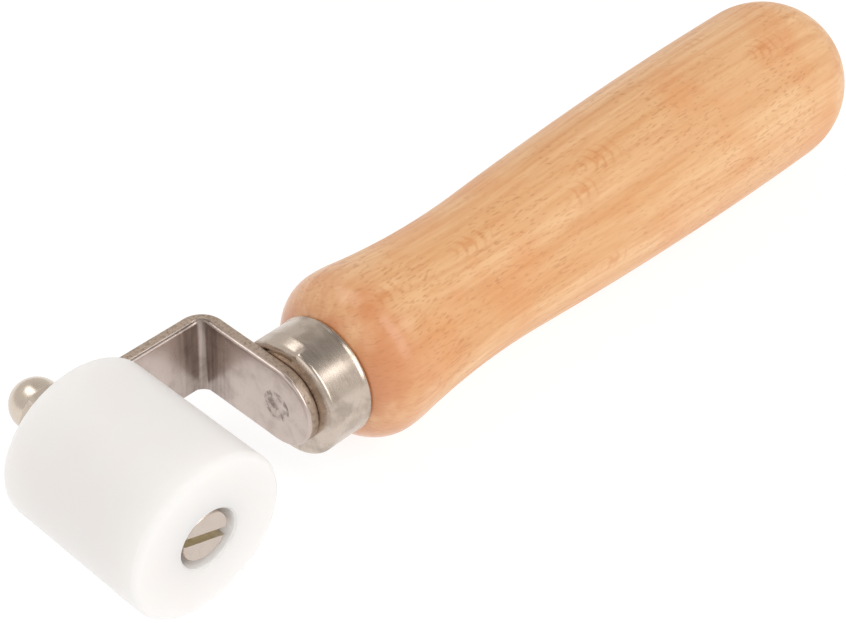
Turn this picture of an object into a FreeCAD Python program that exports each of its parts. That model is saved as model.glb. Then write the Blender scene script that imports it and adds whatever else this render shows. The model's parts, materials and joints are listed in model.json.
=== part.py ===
import FreeCAD, Part
import math
import os
import re

import Sketcher

# A hand roller: a turned beech handle with a drawn steel ferrule, a bent steel arm
# peened to the handle's tang, and a soft white roller that spins on a screwed axle.
#
# The tool is drawn in its own axes: X runs along the handle towards its butt, from the
# ferrule's front face; Y runs along the axle towards the arm's side; Z is up.
# place_on_table() then lays the whole tool on the plane z = 0, where it rests on the
# roller and on the handle's belly.

SIZES = [
    # alias, value in mm (or degrees, or a plain ratio), what it is
    ("roller_dia", 30.0, "outer diameter of the roller"),
    ("roller_width", 31.5, "length of the roller along its axle"),
    ("roller_edge", 1.2, "rounding of the roller's two rims"),
    ("roller_mouth", 0.3, "rounding of the tyre's bore at both ends"),
    ("roller_reach", 30.4, "from the ferrule's front face to the axle's centre"),
    ("arm_width", 15.4, "width of the arm's steel strip"),
    ("arm_thick", 2.5, "thickness of the arm's steel strip"),
    ("arm_offset", 18.0, "from the handle's axis to the arm's inner side"),
    ("arm_bend_inner", 1.3, "inner radius of the arm's bend"),
    ("arm_bend_outer", 4.8, "outer radius of the arm's bend"),
    ("axle_dia", 6.0, "thread and shank diameter of the axle screw"),
    ("axle_hole_play", 0.1, "radial play of the axle screw in the arm's hole"),
    ("head_dia", 9.0, "diameter of the axle screw's head"),
    ("head_high", 3.6, "height of the axle screw's head"),
    ("head_edge", 0.35, "bevel round the top of the screw's head"),
    ("head_recess", 0.75, "depth of the screw's head below the roller's end"),
    ("slot_wide", 1.6, "width of the screwdriver slot"),
    ("slot_deep", 1.6, "depth of the screwdriver slot"),
    ("slot_turn", 18.0, "angle of the slot below the horizontal, degrees"),
    ("screw_tip", 0.7, "bevel at the end of the axle screw"),
    ("thread_play", 0.02, "radial play between the screw and the nut"),
    ("sleeve_play", 0.1, "radial play of the spacer sleeve on the axle screw"),
    ("sleeve_wall", 0.9, "wall of the spacer sleeve"),
    ("hub_play", 0.06, "radial running play of the roller's hub on the sleeve"),
    ("hub_wall", 1.44, "wall of the roller's hub"),
    ("end_play", 0.15, "gap at each end of the hub"),
    ("washer_side_play", 0.5, "radial gap between the head's washer and the tyre"),
    ("head_washer_thick", 0.8, "thickness of the washer under the screw's head"),
    ("arm_washer_lap", 0.5, "reach of the arm's washer over the end of the tyre"),
    ("arm_washer_thick", 0.6, "thickness of the washer between roller and arm"),
    ("washer_play", 0.2, "radial play of both washers on the axle screw"),
    ("nut_flats", 10.0, "size across the cap nut's flats"),
    ("nut_hex_high", 5.0, "height of the cap nut's hexagon"),
    ("nut_bevel", 0.45, "height of the bevel at the hexagon's bearing face"),
    ("dome_step", 0.4, "step from the hexagon's flats in to the dome"),
    ("dome_start", 7.1, "from the nut's bearing face to the dome's centre"),
    ("nut_bore_deep", 8.0, "depth of the cap nut's threaded bore"),
    ("nut_bore_tip", 1.6, "height of the drill point beyond the threaded bore"),
    ("nut_bore_spare", 1.0, "depth of the threaded bore beyond the screw's end"),
    ("ferrule_dia", 22.1, "outer diameter of the ferrule"),
    ("ferrule_long", 9.0, "length of the ferrule"),
    ("ferrule_wall", 0.8, "wall of the ferrule"),
    ("ferrule_shoulder", 1.1, "rounding of the ferrule's front edge"),
    ("ferrule_hole_play", 0.05, "radial play of the tang in the ferrule's hole"),
    ("tang_dia", 8.0, "diameter of the tang inside the handle"),
    ("tang_long", 62.0, "length of the tang behind the arm"),
    ("tang_point", 9.0, "length of the tang's tapered point"),
    ("spigot_dia", 5.2, "diameter of the tang's spigot through the arm"),
    ("peen_bevel", 0.35, "depth of the countersink that the spigot is peened into"),
    ("tenon_play", 0.02, "radial play of the wood in the ferrule and on the tang"),
    ("tenon_gap", 0.3, "gap between the tenon's end and the ferrule's front wall"),
    ("shoulder_gap", 0.12, "gap between the ferrule's rim and the wood's shoulder"),
    ("bore_spare", 2.0, "depth of the handle's bore beyond the tang's point"),
    ("mouth_step", 0.61, "step from the ferrule's side in to the start of the bulb"),
    ("bulb_long", 7.88, "from the wood's shoulder to the bulb's widest section"),
    ("bulb_dia", 31.28, "diameter of the bulb"),
    ("neck_long", 24.1, "from the bulb's widest section to the waist"),
    ("waist_dia", 28.32, "diameter of the waist"),
    ("grip_long", 98.3, "from the waist to the belly's widest section"),
    ("belly_dia", 35.28, "diameter of the belly, and of the round butt"),
    ("bulb_share", 0.15, "share of bulb-to-waist that curves outwards"),
    ("waist_share", 0.13, "share of waist-to-belly that curves inwards"),
]

FUNCTIONS = "sqrt"
WORD = re.compile(r"[a-z]\w+")

# Radii of the pieces that run one inside another, worked outwards from the screw.
SCREW = "(axle_dia / 2)"
SLEEVE_BORE = f"({SCREW} + sleeve_play)"
SLEEVE_OUTER = f"({SLEEVE_BORE} + sleeve_wall)"
HUB_BORE = f"({SLEEVE_OUTER} + hub_play)"
HUB_OUTER = f"({HUB_BORE} + hub_wall)"
WASHER_BORE = f"({SCREW} + washer_play)"

# Stations along the axle, measured from the handle's axis, worked out from the arm.
ROLLER_FAR = "(arm_offset - arm_washer_thick - end_play)"
ROLLER_NEAR = f"({ROLLER_FAR} - roller_width)"
HEAD_TOP = f"({ROLLER_NEAR} + head_recess)"
HEAD_UNDER = f"({HEAD_TOP} + head_high)"
SLEEVE_NEAR = f"({HEAD_UNDER} + head_washer_thick)"
SLEEVE_FAR = "(arm_offset - arm_washer_thick)"
HUB_NEAR = f"({SLEEVE_NEAR} + end_play)"
ARM_OUTER = "(arm_offset + arm_thick)"
SCREW_END = f"({ARM_OUTER} + nut_bore_deep - nut_bore_spare)"

# Stations along the handle, measured from the ferrule's front face.
SHOULDER = "(ferrule_long + shoulder_gap)"
BULB = f"({SHOULDER} + bulb_long)"
WAIST = f"({BULB} + neck_long)"
BELLY = f"({WAIST} + grip_long)"

LEFT = 1
RIGHT = -1


def bound(text):
    """Return an expression with each size's alias turned into a cell of the sheet."""
    def cell(match):
        word = match.group()
        return word if word in FUNCTIONS else f"Sizes.{word}"
    return WORD.sub(cell, text)


def level_arc(run, rise):
    """Return the radius of an arc that starts level and ends run along and rise across."""
    return f"((({run})^2 + ({rise})^2) / (2 * ({rise})))"


# Radius of the long arc by which the handle swells to its belly.
BELLY_ARC = level_arc("grip_long * (1 - waist_share)",
                      "(belly_dia - waist_dia) / 2 * (1 - waist_share)")


def make_sheet(doc):
    """Make the sheet of driving dimensions."""
    sheet = doc.addObject("Spreadsheet::Sheet", "Sizes")
    for row, (alias, value, meaning) in enumerate(SIZES, start=1):
        sheet.set(f"A{row}", meaning)
        sheet.set(f"B{row}", str(value))
        sheet.setAlias(f"B{row}", alias)
    doc.recompute()
    return sheet


class Workshop:
    """The document, its sheet of sizes, and the ways in which its pieces are made."""

    def __init__(self, name):
        self.doc = FreeCAD.newDocument(name)
        self.sheet = make_sheet(self.doc)
        self.pieces = {}

    def value(self, text):
        """Return an expression's value in mm."""
        result = self.sheet.evalExpression(bound(text))
        return float(getattr(result, "Value", result))

    def body(self, label):
        """Start a piece as a body with its own label."""
        body = self.doc.addObject("PartDesign::Body", label)
        body.Label = label
        self.pieces[label] = body
        return body

    def sketch(self, body, name, plane, outline):
        """Draw a closed outline on one of a body's own origin planes."""
        sketch = body.newObject("Sketcher::SketchObject", f"{body.Name}_{name}")
        support = next(f for f in body.Origin.OriginFeatures if f.Role == plane)
        sketch.AttachmentSupport = [(support, "")]
        sketch.MapMode = "FlatFace"
        self.draw(sketch, outline)
        return sketch

    def draw(self, sketch, outline):
        """Draw corners and arcs, and bind each to the sheet.

        A corner is (x, y) or, where an arc leaves it, (x, y, side, radius), with each
        size an expression and side the way that the arc turns.
        """
        points = [FreeCAD.Vector(self.value(c[0]), self.value(c[1]), 0) for c in outline]
        starts = []
        ends = []
        for index, corner in enumerate(outline):
            first = points[index]
            last = points[(index + 1) % len(points)]
            if len(corner) == 2:
                edge = sketch.addGeometry(Part.LineSegment(first, last), False)
                starts.append((edge, 1))
                ends.append((edge, 2))
                continue
            side, radius = corner[2:]
            arc = self.arc(first, last, side, self.value(radius))
            edge = sketch.addGeometry(arc, False)
            starts.append((edge, 1 if side == LEFT else 2))
            ends.append((edge, 2 if side == LEFT else 1))
            self.dimension(sketch, ("Radius", edge), radius)
        for index, corner in enumerate(outline):
            before = ends[index - 1]
            after = starts[index]
            sketch.addConstraint(Sketcher.Constraint("Coincident", *before, *after))
            self.locate(sketch, after, corner[0], "DistanceX", -2)
            self.locate(sketch, after, corner[1], "DistanceY", -1)

    @staticmethod
    def arc(first, last, side, radius):
        """Return the shorter arc between two points that turns to the given side."""
        chord = last - first
        half = chord.Length / 2
        across = FreeCAD.Vector(-chord.y, chord.x, 0).normalize()
        height = math.sqrt(max(radius ** 2 - half ** 2, 0.0))
        centre = (first + last) / 2 + across * side * height
        begin, end = (first, last) if side == LEFT else (last, first)
        angles = [math.atan2(p.y - centre.y, p.x - centre.x) for p in (begin, end)]
        if angles[1] < angles[0]:
            angles[1] += 2 * math.pi
        circle = Part.Circle(centre, FreeCAD.Vector(0, 0, 1), radius)
        return Part.ArcOfCircle(circle, *angles)

    def locate(self, sketch, point, text, kind, axis):
        """Hold one coordinate of a sketch point at an expression."""
        if text == "0":
            sketch.addConstraint(Sketcher.Constraint("PointOnObject", *point, axis))
            return
        self.dimension(sketch, (kind, -1, 1, *point), text)

    def dimension(self, sketch, target, text):
        """Add a dimension and bind it to the sheet."""
        constraint = Sketcher.Constraint(*target, self.value(text))
        index = sketch.addConstraint(constraint)
        sketch.setExpression(f"Constraints[{index}]", bound(text))

    def turn(self, body, name, outline, kind="Revolution"):
        """Turn an outline of (along, radius) corners about the body's X axis."""
        sketch = self.sketch(body, f"{name}_outline", "XZ_Plane", outline)
        feature = body.newObject(f"PartDesign::{kind}", f"{body.Name}_{name}")
        feature.Profile = sketch
        feature.ReferenceAxis = (sketch, ["H_Axis"])
        feature.Angle = 360
        return feature

    def pad(self, body, name, plane, outline, length):
        """Pad an outline evenly to both sides of its plane."""
        feature = body.newObject("PartDesign::Pad", f"{body.Name}_{name}")
        feature.Profile = self.sketch(body, f"{name}_outline", plane, outline)
        feature.Midplane = True
        feature.setExpression("Length", bound(length))
        return feature

    def cut(self, body, name, plane, outline, length):
        """Cut an outline evenly to both sides of its plane."""
        feature = body.newObject("PartDesign::Pocket", f"{body.Name}_{name}")
        feature.Profile = self.sketch(body, f"{name}_outline", plane, outline)
        feature.Midplane = True
        feature.setExpression("Length", bound(length))
        return feature


def tube(near, far, bore, outer):
    """Return the outline of a plain tube or washer, from its ends and its radii."""
    return [(near, bore), (far, bore), (far, outer), (near, outer)]


def make_handle(shop):
    """The wooden handle: tenon, round bulb, waist, belly and a hemispherical butt."""
    body = shop.body("handle")
    tenon = "(ferrule_wall + tenon_gap)"
    tenon_radius = "(ferrule_dia / 2 - ferrule_wall - tenon_play)"
    mouth = "(ferrule_dia / 2 - mouth_step)"
    bore = "(tang_dia / 2 + tenon_play)"
    fall = "(bulb_dia - waist_dia) / 2"
    swell = "(belly_dia - waist_dia) / 2"
    neck_in = level_arc("neck_long * bulb_share", f"{fall} * bulb_share")
    neck_out = level_arc("neck_long * (1 - bulb_share)", f"{fall} * (1 - bulb_share)")
    grip_in = level_arc("grip_long * waist_share", f"{swell} * waist_share")
    outline = [
        (tenon, bore),
        (tenon, tenon_radius),
        (SHOULDER, tenon_radius),
        (SHOULDER, mouth, RIGHT, level_arc("bulb_long", f"bulb_dia / 2 - {mouth}")),
        (BULB, "bulb_dia / 2", RIGHT, neck_in),
        (f"{BULB} + neck_long * bulb_share", f"bulb_dia / 2 - {fall} * bulb_share",
         LEFT, neck_out),
        (WAIST, "waist_dia / 2", LEFT, grip_in),
        (f"{WAIST} + grip_long * waist_share", f"waist_dia / 2 + {swell} * waist_share",
         RIGHT, BELLY_ARC),
        (BELLY, "belly_dia / 2", RIGHT, "belly_dia / 2"),
        (f"{BELLY} + belly_dia / 2", "0"),
        ("tang_long + bore_spare", "0"),
        ("tang_long + bore_spare - tang_point", bore),
    ]
    shop.turn(body, "turning", outline)


def make_ferrule(shop):
    """The drawn steel cup on the handle's tenon, with a hole for the tang."""
    body = shop.body("ferrule")
    outer = "ferrule_dia / 2"
    inner = "(ferrule_dia / 2 - ferrule_wall)"
    hole = "(tang_dia / 2 + ferrule_hole_play)"
    outline = [
        ("0", hole),
        ("0", f"{outer} - ferrule_shoulder", RIGHT, "ferrule_shoulder"),
        ("ferrule_shoulder", outer),
        ("ferrule_long", outer),
        ("ferrule_long", inner),
        ("ferrule_wall", inner),
        ("ferrule_wall", hole),
    ]
    shop.turn(body, "cup", outline)


def make_tang(shop):
    """The steel tang: a spigot peened into the arm, a shoulder and a tapered point."""
    body = shop.body("tang")
    spigot = "spigot_dia / 2"
    outline = [
        ("-arm_thick", "0"),
        ("-arm_thick", f"{spigot} + peen_bevel"),
        ("-arm_thick + peen_bevel", spigot),
        ("0", spigot),
        ("0", "tang_dia / 2"),
        ("tang_long - tang_point", "tang_dia / 2"),
        ("tang_long", "0"),
    ]
    shop.turn(body, "stem", outline)


def round_end(centre, direction, margin):
    """Return what is cut from a strip's end to leave a half circle about its centre."""
    half = "arm_width / 2"
    tip = f"{centre} {direction} {half}"
    beyond = f"{tip} {direction} {margin}"
    side = RIGHT if direction == "+" else LEFT
    return [
        (centre, half, side, half),
        (tip, "0", side, half),
        (centre, f"-{half}"),
        (centre, f"-{half} - {margin}"),
        (beyond, f"-{half} - {margin}"),
        (beyond, f"{half} + {margin}"),
        (centre, f"{half} + {margin}"),
    ]


def make_arm(shop):
    """The arm: one steel strip, bent square, with round ends and two holes."""
    body = shop.body("arm_bracket")
    margin = "1"
    half = "arm_width / 2"
    inner_centre = "arm_thick + arm_bend_inner"
    strip = [
        ("0", f"-{half}"),
        ("0", f"{ARM_OUTER} - arm_bend_outer", LEFT, "arm_bend_outer"),
        ("-arm_bend_outer", ARM_OUTER),
        (f"-roller_reach - {half}", ARM_OUTER),
        (f"-roller_reach - {half}", "arm_offset"),
        (f"-({inner_centre})", "arm_offset", RIGHT, "arm_bend_inner"),
        ("-arm_thick", "arm_offset - arm_bend_inner"),
        ("-arm_thick", f"-{half}"),
    ]
    shop.pad(body, "strip", "XY_Plane", strip, "arm_width")
    handle_end = round_end("0", "-", margin)
    shop.cut(body, "handle_end", "YZ_Plane", handle_end, "2 * arm_thick + 2")
    axle_end = round_end("-roller_reach", "-", margin)
    shop.cut(body, "axle_end", "XZ_Plane", axle_end, f"2 * {ARM_OUTER} + 2")
    shop.turn(body, "tang_hole", [
        ("-arm_thick", "0"),
        ("-arm_thick", "spigot_dia / 2 + peen_bevel"),
        ("-arm_thick + peen_bevel", "spigot_dia / 2"),
        ("0", "spigot_dia / 2"),
        ("0", "0"),
    ], kind="Groove")
    hole = body.newObject("PartDesign::Pocket", "arm_axle_hole")
    hole.Profile = make_axle_circle(shop, body)
    hole.Midplane = True
    hole.setExpression("Length", bound(f"2 * {ARM_OUTER} + 2"))


def make_axle_circle(shop, body):
    """Draw the axle screw's clearance hole on the arm."""
    sketch = shop.sketch(body, "axle_hole_outline", "XZ_Plane", [])
    centre = FreeCAD.Vector(shop.value("-roller_reach"), 0, 0)
    radius = f"{SCREW} + axle_hole_play"
    circle = Part.Circle(centre, FreeCAD.Vector(0, 0, 1), shop.value(radius))
    edge = sketch.addGeometry(circle, False)
    shop.locate(sketch, (edge, 3), "-roller_reach", "DistanceX", -2)
    shop.locate(sketch, (edge, 3), "0", "DistanceY", -1)
    shop.dimension(sketch, ("Radius", edge), radius)
    return sketch


def make_screw(shop):
    """The axle screw: a slotted cheese head, a shank, and a bevelled end in the nut."""
    body = shop.body("axle_screw")
    head = "head_dia / 2"
    outline = [
        (HEAD_TOP, "0"),
        (HEAD_TOP, f"{head} - head_edge"),
        (f"{HEAD_TOP} + head_edge", head),
        (HEAD_UNDER, head),
        (HEAD_UNDER, SCREW),
        (f"{SCREW_END} - screw_tip", SCREW),
        (SCREW_END, f"{SCREW} - screw_tip"),
        (SCREW_END, "0"),
    ]
    shop.turn(body, "turning", outline)
    slot = [
        (f"{HEAD_TOP} - 1", "-head_dia"),
        (f"{HEAD_TOP} + slot_deep", "-head_dia"),
        (f"{HEAD_TOP} + slot_deep", "head_dia"),
        (f"{HEAD_TOP} - 1", "head_dia"),
    ]
    shop.cut(body, "slot", "XY_Plane", slot, "slot_wide")


def make_axle_stack(shop):
    """The pieces clamped on the screw: two washers with the spacer sleeve between."""
    head_washer = f"{HUB_OUTER} - washer_side_play"
    arm_washer = f"{HUB_OUTER} + arm_washer_lap"
    stack = [
        ("head_washer", HEAD_UNDER, SLEEVE_NEAR, WASHER_BORE, head_washer),
        ("axle_sleeve", SLEEVE_NEAR, SLEEVE_FAR, SLEEVE_BORE, SLEEVE_OUTER),
        ("arm_washer", SLEEVE_FAR, "arm_offset", WASHER_BORE, arm_washer),
    ]
    for label, near, far, bore, outer in stack:
        shop.turn(shop.body(label), "tube", tube(near, far, bore, outer))


def make_hub(shop):
    """The hub: the bush in the tyre that runs on the spacer sleeve."""
    outline = tube(HUB_NEAR, ROLLER_FAR, HUB_BORE, HUB_OUTER)
    shop.turn(shop.body("roller_hub"), "tube", outline)


def make_tyre(shop):
    """The soft white tyre, with rounded rims and a bore that also houses the head."""
    body = shop.body("roller_tyre")
    outer = "roller_dia / 2"
    outline = [
        (ROLLER_NEAR, f"{HUB_OUTER} + roller_mouth"),
        (ROLLER_NEAR, f"{outer} - roller_edge", RIGHT, "roller_edge"),
        (f"{ROLLER_NEAR} + roller_edge", outer),
        (f"{ROLLER_FAR} - roller_edge", outer, RIGHT, "roller_edge"),
        (ROLLER_FAR, f"{outer} - roller_edge"),
        (ROLLER_FAR, f"{HUB_OUTER} + roller_mouth", LEFT, "roller_mouth"),
        (f"{ROLLER_FAR} - roller_mouth", HUB_OUTER),
        (f"{ROLLER_NEAR} + roller_mouth", HUB_OUTER, LEFT, "roller_mouth"),
    ]
    shop.turn(body, "tube", outline)


def make_cap_nut(shop):
    """The domed cap nut: a hexagon, a short neck and a dome over a blind bore."""
    body = shop.body("cap_nut")
    face = ARM_OUTER
    corner = "nut_flats / sqrt(3)"
    bore = f"({SCREW} + thread_play)"
    dome = "(nut_flats / 2 - dome_step)"
    hexagon = body.newObject("PartDesign::AdditivePrism", "cap_nut_hexagon")
    plane = next(f for f in body.Origin.OriginFeatures if f.Role == "YZ_Plane")
    hexagon.AttachmentSupport = [(plane, "")]
    hexagon.MapMode = "FlatFace"
    hexagon.Polygon = 6
    hexagon.setExpression("Circumradius", bound(corner))
    hexagon.setExpression("Height", bound("nut_hex_high"))
    hexagon.setExpression("AttachmentOffset.Base.z", bound(face))
    shop.turn(body, "dome", [
        (face, "0"),
        (face, dome),
        (f"{face} + dome_start", dome, RIGHT, dome),
        (f"{face} + dome_start + {dome}", "0"),
    ])
    shop.turn(body, "bevel", [
        (face, "nut_flats / 2 - nut_bevel"),
        (f"{face} + nut_bevel", f"{corner} + nut_bevel"),
        (f"{face} - nut_bevel", f"{corner} + nut_bevel"),
        (f"{face} - nut_bevel", "nut_flats / 2 - nut_bevel"),
    ], kind="Groove")
    shop.turn(body, "bore", [
        (face, "0"),
        (face, bore),
        (f"{face} + nut_bore_deep", bore),
        (f"{face} + nut_bore_deep + nut_bore_tip", "0"),
    ], kind="Groove")


def resting_tilt(shop):
    """Return the tilt, in degrees, of a tool that lies on its roller and its handle.

    A roller smaller than the belly lets the table touch the long arc that swells to the
    belly. A larger one tips the handle on to its round butt.
    """
    run = shop.value(f"roller_reach + {BELLY}")
    belly = shop.value("belly_dia / 2")
    roller = shop.value("roller_dia / 2")
    if roller >= belly:
        return math.degrees(math.asin((roller - belly) / run))
    long_arc = shop.value(BELLY_ARC)
    height = long_arc - belly
    reach = math.hypot(run, height)
    lean = math.atan2(run, height) - math.acos((long_arc - roller) / reach)
    return -math.degrees(lean)


def axle_placement(shop, turned=0.0):
    """Return the placement of a piece on the axle, turned about it by some degrees."""
    across = FreeCAD.Rotation(FreeCAD.Vector(0, 0, 1), 90)
    about = FreeCAD.Rotation(FreeCAD.Vector(1, 0, 0), turned)
    place = FreeCAD.Vector(shop.value("-roller_reach"), 0, 0)
    return FreeCAD.Placement(place, across.multiply(about))


def tool_placements(shop):
    """Return where each piece lies in the tool's own axes."""
    upright = FreeCAD.Placement()
    places = {label: upright for label in ("handle", "ferrule", "tang", "arm_bracket")}
    on_axle = ("axle_sleeve", "head_washer", "arm_washer", "cap_nut", "roller_hub",
               "roller_tyre")
    places.update({label: axle_placement(shop) for label in on_axle})
    places["axle_screw"] = axle_placement(shop, shop.value("slot_turn"))
    return places


def place_on_table(shop):
    """Lay the tool on z = 0 with the middle of its box over the origin."""
    places = tool_placements(shop)
    tilt = FreeCAD.Rotation(FreeCAD.Vector(0, 1, 0), resting_tilt(shop))
    lay = FreeCAD.Placement(FreeCAD.Vector(), tilt)
    box = FreeCAD.BoundBox()
    for label, body in shop.pieces.items():
        body.Placement = lay.multiply(places[label])
    shop.doc.recompute()
    for body in shop.pieces.values():
        box.add(body.Shape.optimalBoundingBox(False, False))
    lay.Base = FreeCAD.Vector(-box.Center.x, -box.Center.y, -box.ZMin)
    for label, body in shop.pieces.items():
        body.Placement = lay.multiply(places[label])
    shop.doc.recompute()
    return lay


def check(doc, pieces):
    """Stop if any object failed or any piece has no valid single solid."""
    for item in doc.Objects:
        if {"Invalid", "Error"} & set(item.State):
            raise RuntimeError(f"{item.Label} did not build: {item.State}")
    for label, body in pieces.items():
        shape = body.Shape
        if shape.isNull() or not shape.isValid() or len(shape.Solids) != 1:
            raise RuntimeError(f"{label} is not one valid solid")


def write_parts(pieces):
    """Write each piece to its own file."""
    os.makedirs("parts", exist_ok=True)
    for label, body in pieces.items():
        body.Shape.exportStep(os.path.join("parts", f"{label}.step"))


def main():
    """Build the tool, lay it down, check it and write its parts."""
    shop = Workshop("hand_roller")
    make_handle(shop)
    make_ferrule(shop)
    make_tang(shop)
    make_arm(shop)
    make_screw(shop)
    make_axle_stack(shop)
    make_hub(shop)
    make_tyre(shop)
    make_cap_nut(shop)
    shop.doc.recompute()
    lay = place_on_table(shop)
    check(shop.doc, shop.pieces)
    write_parts(shop.pieces)
    for label, body in shop.pieces.items():
        print(f"{label}: {body.Shape.Volume:.1f} mm3")
    axle = lay.multVec(FreeCAD.Vector(shop.value("-roller_reach"), 0, 0))
    print(f"axle at {axle.x:.4f}, {axle.y:.4f}, {axle.z:.4f}")
    print(f"tilt {resting_tilt(shop):.4f} degrees, laid at {lay.Base}")


main()
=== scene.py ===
"""A small hand roller dressed for show: lacquered beech, nickelled steel and white rubber.

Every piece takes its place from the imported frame. Lengths are in millimetres in the tool's
own axes: X along the handle from the ferrule's front face to the butt, Y along the axle
towards the arm, Z up. Pieces on the axle have axes of their own, with X along the axle.
One matrix lays each set of axes down in the frame.
"""

import json
import logging
import math
from collections.abc import Callable
from dataclasses import dataclass, field
from enum import Enum

import bmesh
import bpy
import numpy as np
from bpy.types import Material, Mesh, Node, NodeSocket, NodeTree, Object
from mathutils import Matrix, Vector, noise


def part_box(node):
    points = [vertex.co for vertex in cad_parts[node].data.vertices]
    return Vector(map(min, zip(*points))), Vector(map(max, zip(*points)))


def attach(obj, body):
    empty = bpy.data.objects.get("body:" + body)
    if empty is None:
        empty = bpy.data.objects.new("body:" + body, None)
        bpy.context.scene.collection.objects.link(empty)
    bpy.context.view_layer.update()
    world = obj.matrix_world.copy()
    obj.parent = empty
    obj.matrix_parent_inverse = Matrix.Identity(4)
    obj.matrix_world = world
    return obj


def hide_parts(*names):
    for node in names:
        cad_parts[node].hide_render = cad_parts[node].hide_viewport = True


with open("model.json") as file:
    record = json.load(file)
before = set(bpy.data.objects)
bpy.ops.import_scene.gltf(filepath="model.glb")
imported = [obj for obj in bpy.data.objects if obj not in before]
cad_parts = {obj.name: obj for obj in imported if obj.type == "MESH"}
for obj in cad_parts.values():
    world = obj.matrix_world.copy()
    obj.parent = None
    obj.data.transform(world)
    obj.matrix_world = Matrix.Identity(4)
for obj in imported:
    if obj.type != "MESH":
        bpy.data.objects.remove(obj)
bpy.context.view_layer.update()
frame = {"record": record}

LOG = logging.getLogger("hand_roller")
MM = 0.001
MERGE_MM = 5e-4
SLIVER_MM = 1e-4


class Side(Enum):
    """The way an arc turns as an outline is followed."""

    LEFT = 1
    RIGHT = -1


class Body(Enum):
    """The two rigid bodies of the tool."""

    FRAME = "frame"
    ROLLER = "roller"


def linear(code: str) -> tuple[float, float, float, float]:
    """Turn an sRGB hex colour into linear light.

    Args:
        code: six hex digits.

    Returns:
        Linear red, green, blue and an alpha of one.
    """
    parts = [int(code[i:i + 2], 16) / 255 for i in (0, 2, 4)]
    lit = [c / 12.92 if c <= 0.04045 else ((c + 0.055) / 1.055) ** 2.4 for c in parts]
    return (*lit, 1.0)


def add(tree: NodeTree, kind: str, inputs: dict[str | int, object] | tuple = (),
        **settings: object) -> Node:
    """Add a node to a tree.

    Args:
        tree: the tree that gets the node.
        kind: the node's type. A shader or maths node goes without its ShaderNode.
        inputs: what its inputs get, in order or by name or number: a value, a socket, or a
            node whose first working output is meant.
        settings: the node's own properties.

    Returns:
        The new node.
    """
    node = tree.nodes.new(kind if "Node" in kind else f"ShaderNode{kind}")
    for name, value in settings.items():
        setattr(node, name, value)
    for key, value in inputs.items() if isinstance(inputs, dict) else enumerate(inputs):
        if isinstance(value, Node):
            value = next(socket for socket in value.outputs if socket.enabled)
        if isinstance(value, NodeSocket):
            tree.links.new(value, node.inputs[key])
        else:
            node.inputs[key].default_value = value
    return node


# ---------------------------------------------------------------------------------- frame


@dataclass(frozen=True)
class Lie:
    """How the tool lies in the frame, worked out from the axle and the round butt."""

    roller_reach: float = 30.4

    def tool(self) -> Matrix:
        """Return the matrix from the tool's axes in millimetres to the frame in metres."""
        axle = Vector(frame["record"]["behaviour"]["joints"][0]["pos_m"])
        low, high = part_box("handle")
        butt = (high.y - low.y) / 2
        centre = Vector((high.x - butt, axle.y, high.z - butt))
        along = (centre - axle).normalized()
        across = Vector((0.0, 1.0, 0.0))
        turn = Matrix((along, across, along.cross(across))).transposed().to_4x4()
        origin = axle + along * self.roller_reach * MM
        return Matrix.Translation(origin) @ turn @ Matrix.Scale(MM, 4)

    def axle(self, turned: float = 0.0) -> Matrix:
        """Return the matrix of a piece whose X axis is the axle's.

        Args:
            turned: degrees by which the piece is turned about the axle.

        Returns:
            The matrix to the frame in metres.
        """
        place = Matrix.Translation((-self.roller_reach, 0.0, 0.0))
        across = Matrix.Rotation(math.pi / 2, 4, "Z")
        about = Matrix.Rotation(math.radians(turned), 4, "X")
        return self.tool() @ place @ across @ about


# ------------------------------------------------------------------------------- outlines


@dataclass
class Outline:
    """A line of (along, radius) points that a lathe follows, with its arcs worked out.

    Attributes:
        points: the corners and the points along each arc.
        fineness: degrees between two points of an arc.
    """

    points: list[tuple[float, float]] = field(default_factory=list)
    fineness: float = 10.0

    def to(self, along: float, radius: float, steps: int = 1) -> "Outline":
        """Add a straight run to a point, cut into steps."""
        if self.points:
            (x, r) = self.points[-1]
            for i in range(1, steps):
                share = i / steps
                self.points.append((x + (along - x) * share, r + (radius - r) * share))
        self.points.append((along, radius))
        return self

    def arc(self, along: float, radius: float, bend: float, side: Side,
            steps: int = 0) -> "Outline":
        """Add the shorter arc of a given radius to a point.

        Args:
            along: where the arc ends along the axis.
            radius: where the arc ends across the axis.
            bend: the arc's own radius.
            side: the way that it turns.
            steps: how many runs stand for it, or none for the outline's fineness.

        Returns:
            The outline, for the next call.
        """
        start, end = np.array(self.points[-1]), np.array((along, radius))
        half = np.linalg.norm(end - start) / 2
        normal = np.array((start[1] - end[1], end[0] - start[0])) / (2 * half)
        rise = math.sqrt(max(bend * bend - half * half, 0.0))
        centre = (start + end) / 2 + normal * side.value * rise
        first = math.atan2(start[1] - centre[1], start[0] - centre[0])
        sweep = 2 * math.asin(min(half / bend, 1.0)) * side.value
        steps = steps or max(2, math.ceil(abs(math.degrees(sweep)) / self.fineness))
        for i in range(1, steps):
            turn = first + sweep * i / steps
            self.points.append((float(centre[0] + bend * math.cos(turn)),
                                float(centre[1] + bend * math.sin(turn))))
        self.points.append((along, radius))
        return self

    def level_arc(self, along: float, radius: float, side: Side, steps: int) -> "Outline":
        """Add an arc that is level at one of its two ends."""
        run = along - self.points[-1][0]
        rise = abs(radius - self.points[-1][1])
        return self.arc(along, radius, (run * run + rise * rise) / (2 * rise), side, steps)

    def close(self) -> "Outline":
        """End where the outline began, which makes a ring."""
        self.points.append(self.points[0])
        return self


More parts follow.
